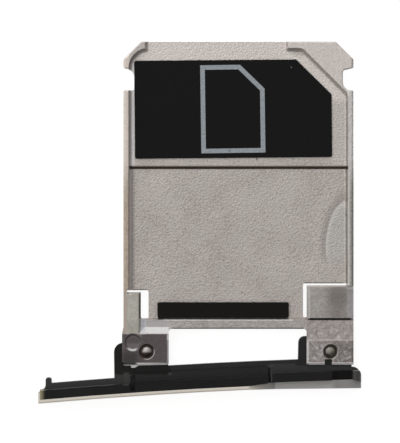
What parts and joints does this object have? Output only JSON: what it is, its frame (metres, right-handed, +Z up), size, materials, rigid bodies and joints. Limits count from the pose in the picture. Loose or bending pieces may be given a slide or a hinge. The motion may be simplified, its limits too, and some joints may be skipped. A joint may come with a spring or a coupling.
{
  "type": "sim card tray",
  "caption": "Flat formed-metal SIM card tray with a cut-corner card bay, a black floor label, a grip strip, and a moulded door riveted to its legs.",
  "frame": {"origin": "on the flat underside of the tray's floor, below the middle of the card bay", "axes": "+X to the tray's right seen from above, +Y towards the nose that goes in first, +Z up out of the card bay"},
  "size_m": [0.0179, 0.0202, 0.0018],
  "materials": {
    "sheet_steel": "fine blasted satin",
    "black_film": "matt film",
    "black_rubber": "matt",
    "black_moulding": "satin moulding",
    "silver_skin": "satin silver paint",
    "rivet_steel": "smooth"
  },
  "bodies": {
    "root": {"tray_plate": "sheet_steel", "bay_label": "black_film", "grip_strip": "black_rubber", "door_carrier": "black_moulding", "door_cover": "silver_skin", "rivet_left": "rivet_steel", "rivet_right": "rivet_steel"}
  },
  "joints": []
}
